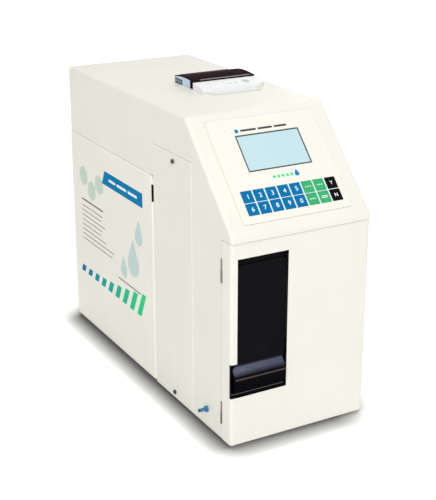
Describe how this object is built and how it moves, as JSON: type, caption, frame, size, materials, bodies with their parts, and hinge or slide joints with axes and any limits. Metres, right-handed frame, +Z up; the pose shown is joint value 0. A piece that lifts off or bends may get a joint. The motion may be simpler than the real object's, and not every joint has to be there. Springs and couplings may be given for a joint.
{
  "type": "electrolyte analyzer",
  "caption": "Bench-top electrolyte analyzer with a sloped keypad and display console, hinged front door, black sampling nose, top printer and a pull-out reagent pack.",
  "frame": {"origin": "centre of the bounding box in plan, at the height of the surface that the feet stand on", "axes": "+X to the instrument's right seen from the front, +Y from the front door to the rear, +Z up"},
  "size_m": [0.1756, 0.4066, 0.3401],
  "materials": {
    "housing_moulding": "fine satin texture",
    "door_moulding": "fine satin texture",
    "chassis_sheet": "satin",
    "connector_sheet": "brushed",
    "foot_rubber": "matte",
    "screw_steel": "blackened",
    "hinge_steel": "satin",
    "magnet_case": "matte",
    "sampler_black": "glossy",
    "probe_steel": "polished",
    "holder_plastic": "satin",
    "electrode_plastic": "clear tint",
    "latch_plastic": "glossy",
    "valve_plastic": "satin",
    "pump_plastic": "satin",
    "rotor_plastic": "satin",
    "motor_steel": "satin",
    "tube_silicone": "translucent",
    "port_plastic": "glossy",
    "connector_plastic": "satin",
    "pack_plastic": "satin",
    "console_film": "matte film",
    "display_frame": "matte",
    "display_glass": "glossy",
    "key_blue": "matte film",
    "key_green": "matte film",
    "key_black": "matte film",
    "printer_plastic": "satin",
    "lid_plastic": "smoked",
    "end_cap_plastic": "satin",
    "paper_white": "matte",
    "platen_rubber": "matte",
    "feed_plastic": "satin",
    "board_laminate": "solder mask",
    "supply_steel": "satin",
    "inlet_plastic": "matte",
    "rocker_plastic": "satin"
  },
  "bodies": {
    "case": {"main_housing": "housing_moulding", "inner_chassis": "chassis_sheet", "foot_front_left": "foot_rubber", "foot_front_right": "foot_rubber", "foot_rear_left": "foot_rubber", "foot_rear_right": "foot_rubber", "side_cover": "housing_moulding", "side_cover_screw_upper": "screw_steel", "side_cover_screw_lower": "screw_steel", "reagent_connector": "connector_plastic", "hinge_upper": "hinge_steel", "hinge_lower": "hinge_steel", "door_magnet": "magnet_case", "sampler_frame": "sampler_black", "sampler_nose": "sampler_black", "electrode_holder": "holder_plastic", "electrode_reference": "electrode_plastic", "electrode_chloride": "electrode_plastic", "electrode_potassium": "electrode_plastic", "electrode_sodium": "electrode_plastic", "solution_valve": "valve_plastic", "pump_head": "pump_plastic", "pump_motor": "motor_steel", "pump_tube": "tube_silicone", "waste_port": "port_plastic", "console_panel": "console_film", "display_module": "display_frame", "display_window": "display_glass", "printer_body": "printer_plastic", "printer_end_cap": "end_cap_plastic", "main_board": "board_laminate", "power_supply": "supply_steel", "connector_plate": "connector_sheet", "power_inlet": "inlet_plastic"},
    "door": {"front_door": "door_moulding"},
    "pack": {"reagent_pack": "pack_plastic"},
    "probe": {"sample_probe": "probe_steel"},
    "lid": {"printer_lid": "lid_plastic"},
    "roll": {"paper_roll": "paper_white"},
    "platen": {"platen_roller": "platen_rubber"},
    "feed_button": {"feed_button": "feed_plastic"},
    "rotor": {"pump_rotor": "rotor_plastic"},
    "rocker": {"power_rocker": "rocker_plastic"},
    "latch": {"electrode_latch": "latch_plastic"},
    "key_1": {"key_1": "key_blue"},
    "key_2": {"key_2": "key_blue"},
    "key_3": {"key_3": "key_blue"},
    "key_4": {"key_4": "key_blue"},
    "key_5": {"key_5": "key_blue"},
    "key_function_a": {"key_function_a": "key_green"},
    "key_function_b": {"key_function_b": "key_green"},
    "key_yes": {"key_yes": "key_black"},
    "key_6": {"key_6": "key_blue"},
    "key_7": {"key_7": "key_blue"},
    "key_8": {"key_8": "key_blue"},
    "key_9": {"key_9": "key_blue"},
    "key_0": {"key_0": "key_blue"},
    "key_function_c": {"key_function_c": "key_green"},
    "key_function_d": {"key_function_d": "key_green"},
    "key_no": {"key_no": "key_black"}
  },
  "joints": [
    {"name": "door_hinge", "type": "hinge", "parent": "case", "child": "door", "pos_m": [-0.07725, -0.17902, 0.1133], "axis": [0, 0, -1], "range_deg": [0, 115]},
    {"name": "pack_slide", "type": "slide", "parent": "case", "child": "pack", "axis": [-1, 0, 0], "range_m": [0, 0.1]},
    {"name": "probe_slide", "type": "slide", "parent": "case", "child": "probe", "axis": [0, -0.5736, -0.8192], "range_m": [0, 0.032]},
    {"name": "lid_hinge", "type": "hinge", "parent": "case", "child": "lid", "pos_m": [0.03345, 0.05458, 0.3344], "axis": [-1, 0, 0], "range_deg": [0, 100]},
    {"name": "roll_spin", "type": "hinge", "parent": "case", "child": "roll", "pos_m": [0.0334, 0.03488, 0.3212], "axis": [1, 0, 0], "continuous": true},
    {"name": "platen_spin", "type": "hinge", "parent": "case", "child": "platen", "pos_m": [0.0334, 0.01698, 0.3307], "axis": [1, 0, 0], "continuous": true},
    {"name": "feed_press", "type": "slide", "parent": "case", "child": "feed_button", "axis": [0, 0, -1], "range_m": [0, 0.0008], "stiffness_N_per_m": 500},
    {"name": "rotor_spin", "type": "hinge", "parent": "case", "child": "rotor", "pos_m": [0.05675, -0.12862, 0.0493], "axis": [0, 1, 0], "continuous": true},
    {"name": "rocker_tilt", "type": "hinge", "parent": "case", "child": "rocker", "pos_m": [0.05675, 0.19748, 0.0753], "axis": [1, 0, 0], "range_deg": [0, 20]},
    {"name": "latch_hinge", "type": "hinge", "parent": "case", "child": "latch", "pos_m": [0.03705, -0.12762, 0.1893], "axis": [-1, 0, 0], "range_deg": [0, 80]},
    {"name": "key_1_press", "type": "slide", "parent": "case", "child": "key_1", "axis": [0, 0.722, -0.6919], "range_m": [0, 0.0004], "stiffness_N_per_m": 1500},
    {"name": "key_2_press", "type": "slide", "parent": "case", "child": "key_2", "axis": [0, 0.722, -0.6919], "range_m": [0, 0.0004], "stiffness_N_per_m": 1500},
    {"name": "key_3_press", "type": "slide", "parent": "case", "child": "key_3", "axis": [0, 0.722, -0.6919], "range_m": [0, 0.0004], "stiffness_N_per_m": 1500},
    {"name": "key_4_press", "type": "slide", "parent": "case", "child": "key_4", "axis": [0, 0.722, -0.6919], "range_m": [0, 0.0004], "stiffness_N_per_m": 1500},
    {"name": "key_5_press", "type": "slide", "parent": "case", "child": "key_5", "axis": [0, 0.722, -0.6919], "range_m": [0, 0.0004], "stiffness_N_per_m": 1500},
    {"name": "key_function_a_press", "type": "slide", "parent": "case", "child": "key_function_a", "axis": [0, 0.722, -0.6919], "range_m": [0, 0.0004], "stiffness_N_per_m": 1500},
    {"name": "key_function_b_press", "type": "slide", "parent": "case", "child": "key_function_b", "axis": [0, 0.722, -0.6919], "range_m": [0, 0.0004], "stiffness_N_per_m": 1500},
    {"name": "key_yes_press", "type": "slide", "parent": "case", "child": "key_yes", "axis": [0, 0.722, -0.6919], "range_m": [0, 0.0004], "stiffness_N_per_m": 1500},
    {"name": "key_6_press", "type": "slide", "parent": "case", "child": "key_6", "axis": [0, 0.722, -0.6919], "range_m": [0, 0.0004], "stiffness_N_per_m": 1500},
    {"name": "key_7_press", "type": "slide", "parent": "case", "child": "key_7", "axis": [0, 0.722, -0.6919], "range_m": [0, 0.0004], "stiffness_N_per_m": 1500},
    {"name": "key_8_press", "type": "slide", "parent": "case", "child": "key_8", "axis": [0, 0.722, -0.6919], "range_m": [0, 0.0004], "stiffness_N_per_m": 1500},
    {"name": "key_9_press", "type": "slide", "parent": "case", "child": "key_9", "axis": [0, 0.722, -0.6919], "range_m": [0, 0.0004], "stiffness_N_per_m": 1500},
    {"name": "key_0_press", "type": "slide", "parent": "case", "child": "key_0", "axis": [0, 0.722, -0.6919], "range_m": [0, 0.0004], "stiffness_N_per_m": 1500},
    {"name": "key_function_c_press", "type": "slide", "parent": "case", "child": "key_function_c", "axis": [0, 0.722, -0.6919], "range_m": [0, 0.0004], "stiffness_N_per_m": 1500},
    {"name": "key_function_d_press", "type": "slide", "parent": "case", "child": "key_function_d", "axis": [0, 0.722, -0.6919], "range_m": [0, 0.0004], "stiffness_N_per_m": 1500},
    {"name": "key_no_press", "type": "slide", "parent": "case", "child": "key_no", "axis": [0, 0.722, -0.6919], "range_m": [0, 0.0004], "stiffness_N_per_m": 1500}
  ],
  "couplings": [
    {"joint": "platen_spin", "follows": "roll_spin", "ratio": 3.625}
  ]
}
